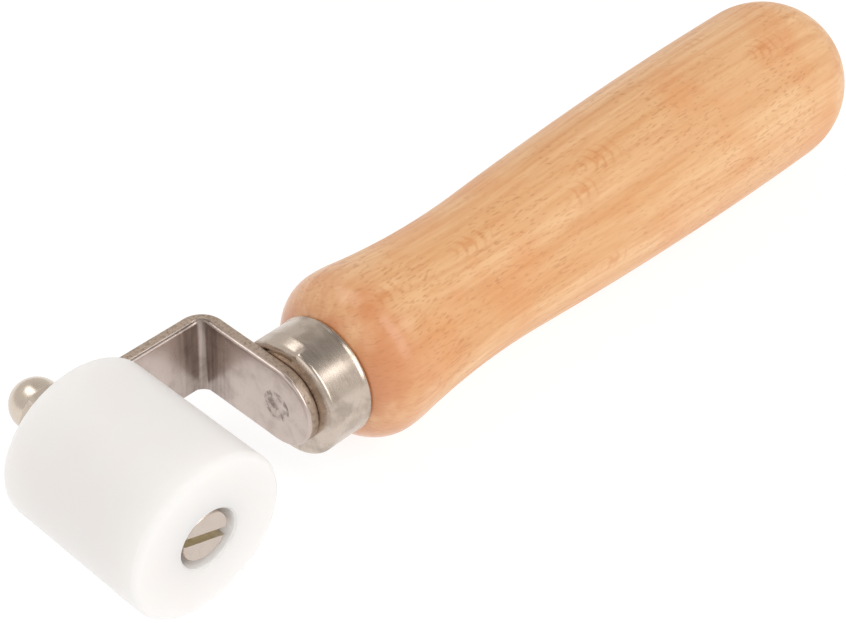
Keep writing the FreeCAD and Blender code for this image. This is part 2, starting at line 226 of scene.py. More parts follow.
def tube(near: float, far: float, bore: float, outer: float, ease: float) -> Outline:
    """Return the outline of a ring or tube with four eased edges.

    Args:
        near: its near end along the axis.
        far: its far end.
        bore: its inner radius.
        outer: its outer radius.
        ease: the rounding of its edges.

    Returns:
        A closed outline.
    """
    line = Outline(fineness=22.5).to(near, bore + ease).to(near, outer - ease)
    line.arc(near + ease, outer, ease, Side.RIGHT).to(far - ease, outer)
    line.arc(far, outer - ease, ease, Side.RIGHT).to(far, bore + ease)
    line.arc(far - ease, bore, ease, Side.RIGHT).to(near + ease, bore)
    return line.arc(near, bore + ease, ease, Side.RIGHT)


# ------------------------------------------------------------------------------- the lathe


class Lathe:
    """Turns outlines into closed meshes with one tree of Geometry Nodes.

    The tree spreads a grid round the X axis, with one row to each point of the outline. A
    facet count above zero also cuts flats, as on a hexagon.
    """

    INPUTS = (
        ("Segments", "NodeSocketInt"),
        ("Facets", "NodeSocketInt"),
        ("Across Flats", "NodeSocketFloat"),
        ("Material", "NodeSocketMaterial"),
    )
    # These sums find a grid point's row, which is its place on the outline, and its angle.
    PLACE = (
        ("columns", "ADD", "Segments", 1.0),
        ("middle", "ADD", "index", 0.5),
        ("share", "DIVIDE", "middle", "columns"),
        ("row", "FLOOR", "share"),
        ("before", "MULTIPLY", "row", "columns"),
        ("column", "SUBTRACT", "index", "before"),
        ("part", "DIVIDE", "column", "Segments"),
        ("angle", "MULTIPLY", "part", math.tau),
    )
    # These cut its radius back to the flats, where there are any, and swing it round.
    SWING = (
        ("count", "MAXIMUM", "Facets", 1.0),
        ("facet", "DIVIDE", math.tau, "count"),
        ("within", "MODULO", "angle", "facet"),
        ("half", "MULTIPLY", "facet", 0.5),
        ("off", "SUBTRACT", "within", "half"),
        ("lean", "COSINE", "off"),
        ("reach", "MULTIPLY", "Across Flats", 0.5),
        ("flat", "DIVIDE", "reach", "lean"),
        ("least", "MINIMUM", "radius", "flat"),
        ("change", "SUBTRACT", "least", "radius"),
        ("asked", "GREATER_THAN", "Facets", 0.5),
        ("left", "MULTIPLY_ADD", "change", "asked", "radius"),
        ("cosine", "COSINE", "angle"),
        ("sine", "SINE", "angle"),
        ("across", "MULTIPLY", "left", "cosine"),
        ("up", "MULTIPLY", "left", "sine"),
    )

    def __init__(self) -> None:
        """Build the tree."""
        self.tree = bpy.data.node_groups.new("Lathe", "GeometryNodeTree")
        face = self.tree.interface
        for way in ("INPUT", "OUTPUT"):
            face.new_socket("Geometry", in_out=way, socket_type="NodeSocketGeometry")
        self.sockets = [face.new_socket(name, in_out="INPUT", socket_type=kind).identifier
                        for name, kind in self.INPUTS]
        self._wire()

    def _reckon(self, known: dict[str, Node | NodeSocket], sums: tuple) -> None:
        """Add sums to the tree, each of which may use the ones before it.

        Args:
            known: what the sums may use, by name. Each result joins it.
            sums: for each sum its name, its operation and what goes into it.
        """
        for name, operation, *parts in sums:
            inputs = tuple(known.get(part, part) for part in parts)
            known[name] = add(self.tree, "Math", inputs, operation=operation)

    def _wire(self) -> None:
        """Add the tree's nodes."""
        tree = self.tree
        given = add(tree, "NodeGroupInput").outputs
        known = {name: given[name] for name, _ in self.INPUTS}
        known["index"] = add(tree, "GeometryNodeInputIndex")
        self._reckon(known, self.PLACE)
        rows = add(tree, "GeometryNodeAttributeDomainSize", (given["Geometry"],),
                   component="MESH").outputs["Point Count"]
        size = {"Vertices X": rows, "Vertices Y": known["columns"]}
        grid = add(tree, "GeometryNodeMeshGrid", size)
        corner = add(tree, "GeometryNodeInputPosition")
        sample = add(tree, "GeometryNodeSampleIndex",
                     {"Geometry": given["Geometry"], "Value": corner, "Index": known["row"]},
                     data_type="FLOAT_VECTOR", domain="POINT")
        at = add(tree, "SeparateXYZ", (sample,)).outputs
        known["radius"] = at["Z"]
        self._reckon(known, self.SWING)
        place = add(tree, "CombineXYZ", (at["X"], known["across"], known["up"]))
        spun = add(tree, "GeometryNodeSetPosition", {"Geometry": grid, "Position": place})
        seam = {"Geometry": spun, "Distance": MERGE_MM}
        real = add(tree, "GeometryNodeRealizeInstances",
                   (add(tree, "GeometryNodeMergeByDistance", seam),))
        dressed = {"Geometry": real, "Material": given["Material"]}
        add(tree, "NodeGroupOutput", (add(tree, "GeometryNodeSetMaterial", dressed),))

    def turn(self, outline: Outline, material: Material | None, segments: int = 96,
             facets: int = 0, flats: float = 0.0) -> Mesh:
        """Turn an outline about the X axis.

        Args:
            outline: the line to follow, a ring or one from axis to axis.
            material: the finish of the result.
            segments: columns round the axis.
            facets: how many flats are cut, or none.
            flats: the size across those flats.

        Returns:
            A closed mesh in millimetres, in the piece's own axes.
        """
        verts = [(x, 0.0, r) for x, r in outline.points]
        line = bpy.data.meshes.new("outline")
        line.from_pydata(verts, [(i, i + 1) for i in range(len(verts) - 1)], [])
        blank = bpy.data.objects.new("blank", line)
        bpy.context.scene.collection.objects.link(blank)
        modifier = blank.modifiers.new("Lathe", "NODES")
        modifier.node_group = self.tree
        for socket, value in zip(self.sockets, (segments, facets, flats, material)):
            modifier[socket] = value
        return plain(blank)


# --------------------------------------------------------------------------------- meshes


def settle(form: bmesh.types.BMesh, mesh: Mesh) -> Mesh:
    """Weld a form's seams, turn its faces outwards and keep it as a mesh."""
    bmesh.ops.remove_doubles(form, verts=form.verts, dist=MERGE_MM)
    bmesh.ops.dissolve_degenerate(form, edges=form.edges, dist=SLIVER_MM)
    bmesh.ops.recalc_face_normals(form, faces=form.faces)
    form.to_mesh(mesh)
    form.free()
    return mesh


def plain(thing: Object) -> Mesh:
    """Return an object's finished mesh, with its faces outwards, and remove the object."""
    bpy.context.view_layer.update()
    graph = bpy.context.evaluated_depsgraph_get()
    mesh = bpy.data.meshes.new_from_object(thing.evaluated_get(graph), depsgraph=graph)
    bpy.data.objects.remove(thing)
    form = bmesh.new()
    form.from_mesh(mesh)
    return settle(form, mesh)


def warp(mesh: Mesh, rule: Callable[[Vector], Vector]) -> Mesh:
    """Move each vertex of a mesh by what a rule says.

    Args:
        mesh: the mesh, in millimetres.
        rule: gives a point's shift.

    Returns:
        The same mesh.
    """
    for vertex in mesh.vertices:
        vertex.co += rule(vertex.co)
    return mesh


def carve(mesh: Mesh, tool: Mesh) -> Mesh:
    """Cut a tool's closed mesh out of a blank's and return what is left."""
    blank = bpy.data.objects.new("blank", mesh)
    cutter = bpy.data.objects.new("cutter", tool)
    for thing in (blank, cutter):
        bpy.context.scene.collection.objects.link(thing)
    cut = blank.modifiers.new("cut", "BOOLEAN")
    cut.operation = "DIFFERENCE"
    cut.solver = "EXACT"
    cut.material_mode = "TRANSFER"
    cut.object = cutter
    result = plain(blank)
    bpy.data.objects.remove(cutter)
    return result


def block(low: Vector, high: Vector) -> Mesh:
    """Return a box between two corners, to cut with."""
    form = bmesh.new()
    size = Matrix.Diagonal((*(high - low), 1.0))
    bmesh.ops.create_cube(form, matrix=Matrix.Translation((low + high) / 2) @ size)
    mesh = bpy.data.meshes.new("block")
    form.to_mesh(mesh)
    form.free()
    return mesh


def fit(name: str, mesh: Mesh, place: Matrix, body: Body,
        crease: float = 40.0) -> Object:
    """Make a finished piece that stands for the CAD node of the same name.

    Args:
        name: the CAD node's name, to which the piece's own name adds a word.
        mesh: its mesh in millimetres, in its own axes.
        place: where those axes lie in the frame.
        body: the body that it rides on.
        crease: the angle in degrees past which an edge stays sharp.

    Returns:
        The piece, at the origin, with its place in its mesh.
    """
    mesh.transform(place)
    mesh.shade_smooth()
    mesh.set_sharp_from_angle(angle=math.radians(crease))
    mesh.name = f"{name}_finished"
    piece = bpy.data.objects.new(mesh.name, mesh)
    bpy.context.scene.collection.objects.link(piece)
    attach(piece, body.value)
    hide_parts(name)
    LOG.info("%s: %d faces on %s", piece.name, len(mesh.polygons), body.value)
    return piece


# ------------------------------------------------------------------------------- finishes


@dataclass(frozen=True)
class Layer:
    """A colour laid over a finish where a mask is high.

    Attributes:
        colour: the colour, as hex.
        most: how much of it shows at most.
        start: the mask's value where it starts to show.
        full: the mask's value where it shows most.
    """

    colour: str
    most: float = 1.0
    start: float = 0.0
    full: float = 1.0


def shaded(name: str, **constants: object) -> tuple[Material, NodeTree, Node]:
    """Start a material.

    Args:
        name: the real material's name.
        constants: values for the shader's own sockets, with _ for a space.

    Returns:
        The material, its tree and its shader.
    """
    material = bpy.data.materials.new(name)
    material.use_nodes = True
    shader = next(n for n in material.node_tree.nodes if n.type == "BSDF_PRINCIPLED")
    for key, value in constants.items():
        shader.inputs[key.replace("_", " ")].default_value = value
    return material, material.node_tree, shader


class Finish:
    """What every finish shares: coordinates in millimetres and the way its shader is fed."""

    def open(self, name: str, place: Matrix,
             **constants: object) -> tuple[Material, NodeTree, Node, Node]:
        """Start a material whose pattern follows a piece.

        Args:
            name: the real material's name.
            place: the piece's axes in the frame.
            constants: values for the shader's own sockets, with _ for a space.

        Returns:
            The material, its tree, its shader and the node with the coordinates.
        """
        material, tree, shader = shaded(name, **constants)
        where = add(tree, "TexCoord").outputs["Object"]
        spot, turn, scale = place.decompose()
        mm = add(tree, "Mapping", {"Vector": where, "Location": spot, "Scale": scale,
                                   "Rotation": turn.to_euler()}, vector_type="TEXTURE")
        return material, tree, shader, mm

    def lay(self, tree: NodeTree, under: Node | str, mask: Node, layer: Layer) -> Node:
        """Lay a colour over another where a mask is high.

        Args:
            tree: the material's tree.
            under: the node with the colour so far, or a plain colour as hex.
            mask: the node that says where.
            layer: the new colour and how it shows.

        Returns:
            The node with the new colour.
        """
        share = add(tree, "MapRange", (mask, layer.start, layer.full, 0.0, layer.most),
                    interpolation_type="SMOOTHSTEP")
        below = linear(under) if isinstance(under, str) else under.outputs[2]
        return add(tree, "Mix", {0: share, 6: below, 7: linear(layer.colour)},
                   data_type="RGBA")

    def feed(self, tree: NodeTree, shader: Node, colour: Node,
             gloss: tuple[Node, float, float, float, float],
             relief: tuple[Node, float, float]) -> None:
        """Feed the shader its colour, its roughness and its relief.

        Args:
            tree: the material's tree.
            shader: its shader.
            colour: the node with the colour.
            gloss: a mask, its two ends, and the roughness at each.
            relief: the node with the height, its strength and its depth in millimetres.
        """
        tree.links.new(colour.outputs[2], shader.inputs["Base Color"])
        rough = add(tree, "MapRange", gloss)
        tree.links.new(rough.outputs[0], shader.inputs["Roughness"])
        height, strength, depth = relief
        bump = add(tree, "Bump", {"Height": height, "Strength": strength,
                                  "Distance": depth * MM})
        tree.links.new(bump.outputs[0], shader.inputs["Normal"])


@dataclass(frozen=True)
class Knot:
    """A curl of darker figure in the wood: its place in the handle and its radius."""

    along: float
    across: float
    up: float
    size: float


@dataclass(frozen=True)
class LacqueredBeech(Finish):
    """Steamed beech, turned and sealed with a satin lacquer.

    It gives a warm peach ground with long soft streaks, short dark ray flecks along the
    grain, a few orange knots of figure, and a thin clear coat over it all. In life the rays
    and the pores are finer: both are drawn coarser, so that they show at arm's length.
    Sizes are in millimetres.
    """

    pale: str = "EDC090"
    ground: str = "E0A974"
    ground_ends: tuple[float, float] = (0.34, 0.68)
    ring: Layer = Layer("D18C58", 0.17, 0.3)
    streak: Layer = Layer("D18C58", 0.36, 0.48, 0.78)
    glow: Layer = Layer("DE935A", 0.42, 0.48, 0.7)
    end_grain: Layer = Layer("D08456", 0.8)
    figure: Layer = Layer("CC7A3C", 0.42)
    pore: Layer = Layer("D18C58", 0.3, 0.42, 0.75)
    fleck: Layer = Layer("B26B36", 0.36)
    streak_width: float = 5.0
    streak_stretch: float = 0.05
    grain_lean: tuple[float, float, float] = (0.0, 0.02, 0.035)
    glow_size: float = 16.0
    pore_size: float = 0.7
    ring_spacing: float = 2.6
    ring_waver: float = 5.0
    pith_y: float = 52.0
    pith_z: float = -9.0
    fleck_length: float = 1.6
    fleck_height: float = 1.1
    fleck_width: float = 0.26
    fleck_rise: float = -0.3
    nose_from: float = 24.0
    nose_to: float = 9.0
    curl_waver: float = 1.5
    arc_back: float = 5.0
    arc_spacing: float = 1.5
    heart: float = 1.3
    coat_least: float = 0.25
    coat_most: float = 1.0
    relief: tuple[float, float] = (0.25, 0.05)
    knots: tuple[Knot, ...] = (
        Knot(40.0, -4.0, 13.6, 4.2), Knot(75.0, -4.6, 15.4, 5.2), Knot(67.0, -8.0, 13.6, 3.8),
        Knot(128.0, -5.2, 16.8, 4.6), Knot(69.0, -15.7, 0.5, 3.0), Knot(18.0, -4.5, 15.0, 3.6),
        Knot(98.0, 14.0, -9.0, 5.0), Knot(52.0, 9.0, -11.0, 4.4), Knot(120.0, 6.0, 15.5, 3.4),
    )

    def make(self, place: Matrix) -> Material:
        """Return the material for a piece whose grain runs along its X axis."""
        material, tree, shader, mm = self.open(
            "lacquered_beech", place, IOR=1.5, Coat_Roughness=0.2, Coat_IOR=1.5,
            Specular_IOR_Level=0.3)
        along = add(tree, "SeparateXYZ", (mm,)).outputs["X"]
        near = add(tree, "MapRange", (along, self.nose_from, self.nose_to))
        coat = add(tree, "MapRange", (near, 0.0, 1.0, self.coat_least, self.coat_most))
        tree.links.new(coat.outputs[0], shader.inputs["Coat Weight"])
        grain = add(tree, "Mapping", {"Vector": mm, "Rotation": self.grain_lean,
                                      "Scale": (self.streak_stretch, 1.0, 1.0)})
        broad, fine, pores, warm = (
            add(tree, "TexNoise", {"Vector": where, "Scale": 1 / size, "Detail": detail,
                                   "Roughness": rough})
            for where, size, detail, rough in (
                (grain, self.streak_width, 3.0, 0.55), (grain, self.streak_width / 4, 4.0, 0.6),
                (grain, self.pore_size, 2.0, 0.5), (mm, self.glow_size, 3.0, 0.5)))
        share = add(tree, "MapRange", (broad, *self.ground_ends))
        colour = add(tree, "Mix", {0: share, 6: linear(self.pale), 7: linear(self.ground)},
                     data_type="RGBA")
        log = self._log(tree, mm)
        flecks = self._flecks(tree, log)
        layers = [(self._rings(tree, log), self.ring), (fine, self.streak), (warm, self.glow),
                  (self._nose(tree, mm, near), self.end_grain)]
        wavy = add(tree, "TexNoise",
                   {"Vector": mm, "Scale": 0.4, "Detail": 3.0, "Roughness": 0.6})
        layers += [(self._curl(tree, mm, wavy, knot), self.figure) for knot in self.knots]
        layers += [(pores, self.pore), (flecks, self.fleck)]
        for mask, layer in layers:
            colour = self.lay(tree, colour, mask, layer)
        height = add(tree, "Math", (flecks, self.fleck_rise, pores),
                     operation="MULTIPLY_ADD")
        self.feed(tree, shader, colour, (pores, 0.3, 0.7, 0.5, 0.62), (height, *self.relief))
        return material

    def _log(self, tree: NodeTree, mm: Node) -> Node:
        """Return places in the log: along the grain, out from the pith and round it."""
        off = add(tree, "Mapping", {"Vector": mm, "Rotation": (0.0, 0.0, 0.03),
                                    "Location": (0.0, -self.pith_y, -self.pith_z)})
        parts = add(tree, "SeparateXYZ", (off,)).outputs
        flat = add(tree, "CombineXYZ", {1: parts["Y"], 2: parts["Z"]})
        out = add(tree, "VectorMath", (flat,), operation="LENGTH")
        turn = add(tree, "Math", (parts["Z"], parts["Y"]), operation="ARCTAN2")
        whole = add(tree, "Math", (turn, math.tau), operation="FLOORED_MODULO")
        arc = add(tree, "Math", (whole, self.pith_y), operation="MULTIPLY")
        return add(tree, "CombineXYZ", (parts["X"], out, arc))

    def _rings(self, tree: NodeTree, log: Node) -> Node:
        """Return the growth rings, which lean on the grain and waver a little."""
        lean = add(tree, "Mapping", {"Vector": log, "Scale": (0.04, 1.0, 0.06)})
        waves = math.tau / 20 / self.ring_spacing
        return add(tree, "TexWave",
                   {"Vector": lean, "Scale": waves, "Distortion": self.ring_waver,
                    "Detail": 2.0, "Detail Scale": 0.5, "Detail Roughness": 0.5},
                   wave_type="BANDS", bands_direction="Y")

    def _flecks(self, tree: NodeTree, log: Node) -> Node:
        """Return the rays: thin upright sheets that show as short dashes along the grain."""
        size = (1 / self.fleck_length, 1 / self.fleck_height, 1 / self.fleck_width)
        cells = add(tree, "Mapping", {"Vector": log, "Scale": size})
        sheets = add(tree, "TexNoise", {"Vector": cells, "Scale": 1.0, "Detail": 1.0,
                                        "Roughness": 0.4})
        dash = add(tree, "MapRange", (sheets, 0.53, 0.72))
        drift = add(tree, "TexNoise", {"Vector": log, "Scale": 0.07})
        where = add(tree, "MapRange", (drift, 0.38, 0.62, 0.35))
        return add(tree, "Math", (dash, where), operation="MULTIPLY")

    def _nose(self, tree: NodeTree, mm: Node, near: Node) -> Node:
        """Return where the bulb's end grain has drunk the lacquer and gone darker."""
        patch = add(tree, "TexNoise", {"Vector": mm, "Scale": 0.12, "Detail": 2.0})
        uneven = add(tree, "MapRange", (patch, 0.35, 0.6, 0.5))
        return add(tree, "Math", (near, uneven), operation="MULTIPLY")

    def _curl(self, tree: NodeTree, mm: Node, wavy: Node, knot: Knot) -> Node:
        """Find one knot's figure: nested arcs that fade away from its heart.

        Args:
            tree: the material's tree.
            mm: the node with the coordinates.
            wavy: the noise that bends the arcs.
            knot: the knot.

        Returns:
            The node with the figure's darkness.
        """
        fars = []
        for back, stretch in ((0.0, 0.45), (self.arc_back, 0.7)):
            off = add(tree, "Mapping",
                      {"Vector": mm, "Scale": (stretch, 1.0, 1.0),
                       "Location": ((back - knot.along) * stretch, -knot.across, -knot.up)})
            far = add(tree, "VectorMath", (off,), operation="LENGTH").outputs["Value"]
            fars.append(add(tree, "Math", (wavy, self.curl_waver, far),
                            operation="MULTIPLY_ADD"))
        half = self.curl_waver / 2
        fade, heart = (add(tree, "MapRange", (fars[0], reach + half, half),
                           interpolation_type="SMOOTHSTEP") for reach in (knot.size, self.heart))
        turns = add(tree, "Math", (fars[1], math.tau / self.arc_spacing), operation="MULTIPLY")
        arcs = add(tree, "Math", (turns,), operation="SINE")
        lines = add(tree, "MapRange", (arcs, 0.0, 1.0, 0.15, 0.9))
        rings = add(tree, "Math", (fade, lines), operation="MULTIPLY")
        return add(tree, "Math", (rings, heart), operation="MAXIMUM")


@dataclass(frozen=True)
class NickelledSteel(Finish):
    """Mild steel with a thin nickel plate, drawn, rolled, turned or polished.

    It gives a warm grey metal whose fine tool lines stretch its reflections one way. The
    lines are drawn a little coarser than in life, so that they show at arm's length.

    Attributes:
        name: what this piece's steel is called.
        bright: the plate's own colour.
        dull: its colour where it is stained or thin.
        gloss: the least and the most roughness.
        lines: how often tool marks come along each axis, per millimetre.
        depth: how deep they look, in millimetres.
        stain_size: how far apart the stains are, in millimetres.
        stain: how strongly they show.
        stain_edge: where in the noise they start and where they are full.
        worked: the line beside which a press dulled the plate, as its X and Y, then how
            far off it still shows and how strongly.
    """

    name: str
    bright: str = "C9BAAD"
    dull: str = "94867A"
    gloss: tuple[float, float] = (0.2, 0.34)
    lines: tuple[float, float, float] = (5.0, 0.25, 0.25)
    depth: float = 0.02
    stain_size: float = 4.0
    stain: float = 0.35
    stain_edge: tuple[float, float] = (0.42, 0.8)
    worked: tuple[float, float, float, float] | None = None

    def make(self, place: Matrix) -> Material:
        """Return the material for a piece with the given axes."""
        material, tree, shader, mm = self.open(self.name, place, Metallic=1.0)
        drawn = add(tree, "Mapping", {"Vector": mm, "Scale": self.lines})
        marks = add(tree, "TexNoise",
                    {"Vector": drawn, "Scale": 1.0, "Detail": 5.0, "Roughness": 0.65})
        cloud = add(tree, "TexNoise", {"Vector": mm, "Scale": 1 / self.stain_size,
                                       "Detail": 4.0, "Roughness": 0.6, "Distortion": 0.4})
        share = add(tree, "MapRange", (cloud, *self.stain_edge, 0.0, self.stain),
                    interpolation_type="SMOOTHSTEP")
        if self.worked:
            share = self._pressed(tree, mm, share)
        colour = add(tree, "Mix", {0: share, 6: linear(self.bright), 7: linear(self.dull)},
                     data_type="RGBA")
        both = add(tree, "Math", (marks, cloud), operation="ADD")
        self.feed(tree, shader, colour, (both, 0.7, 1.3, *self.gloss),
                  (marks, 0.6, self.depth))
        return material

    def _pressed(self, tree: NodeTree, mm: Node, share: Node) -> Node:
        """Add the streaks that the press left where the strip was bent.

        Args:
            tree: the material's tree.
            mm: the node with the coordinates.
            share: the node with how dull the plate is so far.

        Returns:
            The node with how dull it is in all.
        """
        near_x, near_y, reach, most = self.worked
        off = add(tree, "Mapping",
                  {"Vector": mm, "Location": (-near_x, -near_y, 0.0), "Scale": (1, 1, 0)})
        far = add(tree, "VectorMath", (off,), operation="LENGTH").outputs["Value"]
        fade = add(tree, "MapRange", (far, reach, 1.0, 0.0, most),
                   interpolation_type="SMOOTHSTEP")
        thin = add(tree, "Mapping", {"Vector": mm, "Scale": (1.3, 1.3, 0.06)})
        drag = add(tree, "TexNoise", {"Vector": thin, "Detail": 4.0, "Scale": 1.0})
        lines = add(tree, "MapRange", (drag, 0.36, 0.62, 0.45))
        both = add(tree, "Math", (fade, lines), operation="MULTIPLY")
        return add(tree, "Math", (share, both), operation="ADD", use_clamp=True)


@dataclass(frozen=True)
class Moulding(Finish):
    """A moulded rubber or plastic with light that sinks a little way in.

    It gives a soft matt white whose edges glow, with a faint waviness from the mould.

    Attributes:
        name: what this piece's material is called.
        colour: its colour.
        shade: its colour where it is slightly uneven.
        gloss: the least and the most roughness.
        sink: how far light goes in, in millimetres.
        wave_size: how wide the mould's waviness is, in millimetres.
        skin_size: the grain of its skin, in millimetres, drawn coarse enough to show.
    """

    name: str
    colour: str = "E9E7E5"
    shade: str = "EAE6E4"
    gloss: tuple[float, float] = (0.42, 0.55)
    sink: float = 9.0
    wave_size: float = 14.0
    skin_size: float = 0.5

    def make(self, place: Matrix) -> Material:
        """Return the material for a piece with the given axes."""
        material, tree, shader, mm = self.open(
            self.name, place, IOR=1.43, Subsurface_Weight=0.85,
            Subsurface_Radius=(1.0, 0.96, 0.92), Subsurface_Scale=self.sink * MM,
            Specular_IOR_Level=0.4)
        cloud, skin = (add(tree, "TexNoise", {"Vector": mm, "Scale": 1 / size,
                                              "Detail": detail})
                       for size, detail in ((self.wave_size, 2.0), (self.skin_size, 3.0)))
        colour = self.lay(tree, self.colour, cloud, Layer(self.shade, 1.0, 0.4, 0.65))
        self.feed(tree, shader, colour, (skin, 0.3, 0.7, *self.gloss), (skin, 0.15, 0.03))
        return material


# --------------------------------------------------------------------------------- pieces


@dataclass
class Handle:
    """The wooden handle, its drawn ferrule and the tang that runs through both.

    The belly is a hair slimmer than the CAD model's, whose coarser mesh it must stay in.
    """

    lathe: Lathe
    place: Matrix
    ferrule_dia: float = 22.1
    ferrule_long: float = 9.0
    ferrule_wall: float = 0.8
    ferrule_shoulder: float = 1.0
    ferrule_hole_play: float = 0.05
    ferrule_lip: float = 0.3
    ferrule_bead: float = 0.12
    shoulder_gap: float = 0.12
    tenon_play: float = 0.02
    tenon_gap: float = 0.3
    mouth_step: float = 0.61
    bulb_long: float = 7.88
    bulb_dia: float = 31.28
    neck_long: float = 24.1
    waist_dia: float = 28.32
    grip_long: float = 98.3
    belly_dia: float = 35.27
    bulb_share: float = 0.15
    waist_share: float = 0.13
    tang_dia: float = 8.0
    tang_long: float = 62.0
    tang_point: float = 9.0
    spigot_dia: float = 5.2
    peen_bevel: float = 0.35
    bore_spare: float = 2.0
    arm_thick: float = 2.5
    dent_from: float = -1.8
    dent_to: float = 8.6
    dent_deep: float = 0.85
    dent_long: float = 2.9
    dent_back: float = 0.35
    dent_square: int = 8
    dimple_deep: float = 0.22
    dimple_pitch: float = 0.8
    dimple_lift: float = 0.55

    def build(self) -> None:
        """Make the three pieces."""
        self._wood()
        self._ferrule()
        self._tang()

    def _wood(self) -> None:
        """Turn the handle: tenon, bulb, waist, belly and a round butt."""
        bore = self.tang_dia / 2 + self.tenon_play
        tenon = self.ferrule_wall + self.tenon_gap
        tenon_radius = self.ferrule_dia / 2 - self.ferrule_wall - self.tenon_play
        shoulder = self.ferrule_long + self.shoulder_gap
        mouth = self.ferrule_dia / 2 - self.mouth_step
        bulb = shoulder + self.bulb_long
        waist = bulb + self.neck_long
        belly = waist + self.grip_long
        fall = (self.bulb_dia - self.waist_dia) / 2
        swell = (self.belly_dia - self.waist_dia) / 2
        line = Outline().to(tenon, bore).to(tenon, tenon_radius)
        line.to(shoulder, tenon_radius).to(shoulder, mouth)
        line.level_arc(bulb, self.bulb_dia / 2, Side.RIGHT, 22)
        line.level_arc(bulb + self.neck_long * self.bulb_share,
                       self.bulb_dia / 2 - fall * self.bulb_share, Side.RIGHT, 8)
        line.level_arc(waist, self.waist_dia / 2, Side.LEFT, 22)
        line.level_arc(waist + self.grip_long * self.waist_share,
                       self.waist_dia / 2 + swell * self.waist_share, Side.LEFT, 12)
        line.level_arc(belly, self.belly_dia / 2, Side.RIGHT, 54)
        line.arc(belly + self.belly_dia / 2, 0.0, self.belly_dia / 2, Side.RIGHT, 32)
        line.to(self.tang_long + self.bore_spare, 0.0)
        line.to(self.tang_long + self.bore_spare - self.tang_point, bore).close()
        finish = LacqueredBeech().make(self.place)
        mesh = self.lathe.turn(line, finish, segments=192)
        fit("handle", mesh, self.place, Body.FRAME)

    def _ferrule(self) -> None:
        """Draw the ferrule: a cup with a rolled shoulder, a thin lip and one old dent."""
        outer, lip = self.ferrule_dia / 2, self.ferrule_lip
        barrel = outer - self.ferrule_bead
        inner = outer - self.ferrule_wall
        hole = self.tang_dia / 2 + self.ferrule_hole_play
        curl = self.ferrule_shoulder
        line = Outline(fineness=7.5).to(0.0, hole).to(0.0, barrel - curl, 10)
        line.arc(curl, barrel, curl, Side.RIGHT).to(self.ferrule_long - 3 * lip, barrel, 24)
        line.to(self.ferrule_long - 2 * lip, outer).to(self.ferrule_long - lip, outer)
        line.arc(self.ferrule_long, outer - lip, lip, Side.RIGHT, 4)
        line.to(self.ferrule_long, inner).to(self.ferrule_wall, inner, 12)
        line.to(self.ferrule_wall, hole).close()
        # Drawn sheet: soft bands run round the cup, clouded with dull stains.
        finish = NickelledSteel("drawn_nickelled_steel", bright="CBBDB0", dull="85786A",
                                lines=(4.0, 0.2, 0.2), gloss=(0.2, 0.34), depth=0.012,
                                stain_size=4.0, stain=0.5, stain_edge=(0.42, 0.72))
        mesh = self.lathe.turn(line, finish.make(self.place), segments=256)
        warp(mesh, self._dent)
        fit("ferrule", mesh, self.place, Body.FRAME)

    def _dent(self, spot: Vector) -> Vector:
        """Return how far a knock on top pressed the ferrule's shoulder in.

        Args:
            spot: a point of the ferrule.

        Returns:
            Its shift, towards the axis and backwards.
        """
        reach = math.hypot(spot.y, spot.z)
        if spot.z < 0 or reach < self.ferrule_dia / 2 - 2 * self.ferrule_shoulder:
            return Vector((0.0, 0.0, 0.0))
        middle = (self.dent_from + self.dent_to) / 2
        half = (self.dent_to - self.dent_from) / 2
        aside = (spot.y - middle) / half
        lengthways = max(0.0, 1 - spot.x / self.dent_long)
        edge = max(0.0, 1 - abs(aside) ** self.dent_square)
        press = self.dent_deep * edge * lengthways
        return Vector((press * self.dent_back, -spot.y / reach * press, -spot.z / reach * press))

    def _tang(self) -> None:
        """Turn the tang: a spigot peened over in the arm, a shoulder and a point."""
        spigot, bevel = self.spigot_dia / 2, self.peen_bevel
        line = Outline().to(-self.arm_thick, 0.0)
        line.to(-self.arm_thick, spigot + bevel, 9).to(bevel - self.arm_thick, spigot)
        line.to(0.0, spigot).to(0.0, self.tang_dia / 2)
        line.to(self.tang_long - self.tang_point, self.tang_dia / 2)
        line.to(self.tang_long, 0.0)
        # Peened end: hammered dull grey, with dark patches where the plate is gone.
        finish = NickelledSteel("peened_mild_steel", bright="C6B7AF", dull="756760",
                                lines=(1.2, 1.2, 1.2), depth=0.05, gloss=(0.28, 0.4),
                                stain_size=1.7, stain=0.8, stain_edge=(0.4, 0.62))
        mesh = self.lathe.turn(line, finish.make(self.place), segments=64)
        warp(mesh, self._hammered)
        fit("tang", mesh, self.place, Body.FRAME)

    def _hammered(self, spot: Vector) -> Vector:
        """Return the hammer's dimples in the peened end of the tang."""
        spigot = self.spigot_dia / 2
        reach = math.hypot(spot.y, spot.z)
        if spot.x > 0.01 - self.arm_thick or reach > spigot:
            return Vector((0.0, 0.0, 0.0))
        rough = noise.noise(Vector((spot.y, spot.z, 3.0)) * self.dimple_pitch)
        deep = self.dimple_deep * max(rough + self.dimple_lift, 0.0)
        return Vector((deep * (1 - (reach / spigot) ** 4), 0.0, 0.0))


